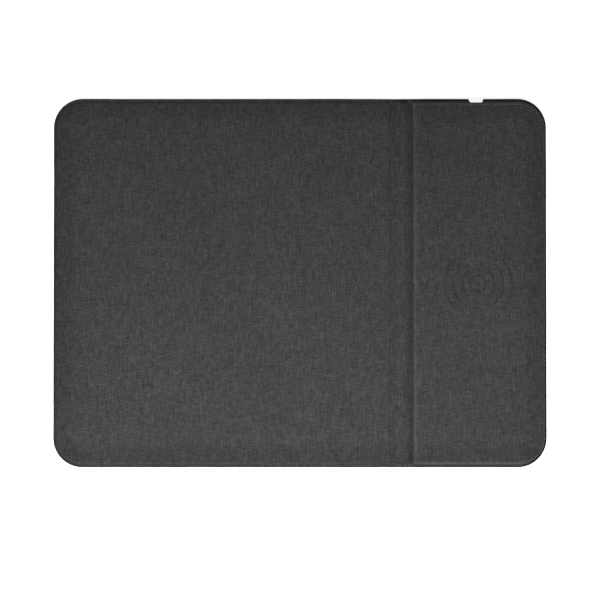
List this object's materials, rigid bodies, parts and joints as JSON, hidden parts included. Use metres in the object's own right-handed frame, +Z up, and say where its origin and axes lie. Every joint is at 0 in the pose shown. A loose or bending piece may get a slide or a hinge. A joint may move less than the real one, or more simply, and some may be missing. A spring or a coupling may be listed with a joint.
{
  "type": "folding desk mat with wireless charging pad",
  "caption": "Flat fabric-covered desk mat in three stiff parts joined by two folding creases, with a wireless charging coil under one end and a micro-USB socket in the rear edge.",
  "frame": {"origin": "middle of the underside, on the desk", "axes": "+X along the mat towards the charging module, +Y towards the rear edge with the socket, +Z up"},
  "size_m": [0.27, 0.202, 0.006],
  "materials": {
    "cover_fabric": "matte",
    "base_rubber": "matte",
    "grey_board": "matte",
    "casing_plastic": "matte",
    "screw_steel": "satin",
    "ferrite": "matte",
    "tape": "satin",
    "coil_copper": "satin",
    "pad_foam": "matte",
    "circuit_board": "satin",
    "chip_plastic": "matte",
    "capacitor_ceramic": "satin",
    "inductor_ferrite": "matte",
    "passive_parts": "satin",
    "socket_steel": "satin",
    "socket_plastic": "matte",
    "contact_gold": "satin",
    "sensor_epoxy": "satin"
  },
  "bodies": {
    "mat": {"mat_base_sheet": "base_rubber", "mat_board": "grey_board", "mat_cover": "cover_fabric"},
    "spine": {"spine_base_sheet": "base_rubber", "spine_board": "grey_board", "spine_cover": "cover_fabric", "mat_crease_fabric": "cover_fabric", "module_crease_fabric": "cover_fabric"},
    "charging_module": {"module_base_sheet": "base_rubber", "module_tray": "casing_plastic", "module_lid": "casing_plastic", "module_cover": "cover_fabric", "lid_screws": "screw_steel", "board_screws": "screw_steel", "ferrite_sheet": "ferrite", "coil_tape": "tape", "charging_coil": "coil_copper", "coil_foam_ring": "pad_foam", "coil_leads": "coil_copper", "thermistor": "sensor_epoxy", "main_board": "circuit_board", "controller_chip": "chip_plastic", "bridge_chip": "chip_plastic", "power_inductor": "inductor_ferrite", "resonant_capacitors": "capacitor_ceramic", "input_capacitors": "capacitor_ceramic", "small_passives": "passive_parts", "usb_port_shell": "socket_steel", "usb_port_contacts": "contact_gold", "usb_port_tongue": "socket_plastic"}
  },
  "joints": [
    {"name": "mat_crease", "type": "hinge", "parent": "mat", "child": "spine", "pos_m": [0.0508, 0, 0.001], "axis": [0, -1, 0], "range_deg": [0, 90], "stiffness_Nm_per_rad": 0.02, "deforming": ["mat_crease_fabric"]},
    {"name": "module_crease", "type": "hinge", "parent": "spine", "child": "charging_module", "pos_m": [0.06, 0, 0.001], "axis": [0, -1, 0], "range_deg": [0, 90], "stiffness_Nm_per_rad": 0.02, "deforming": ["module_crease_fabric"]}
  ]
}
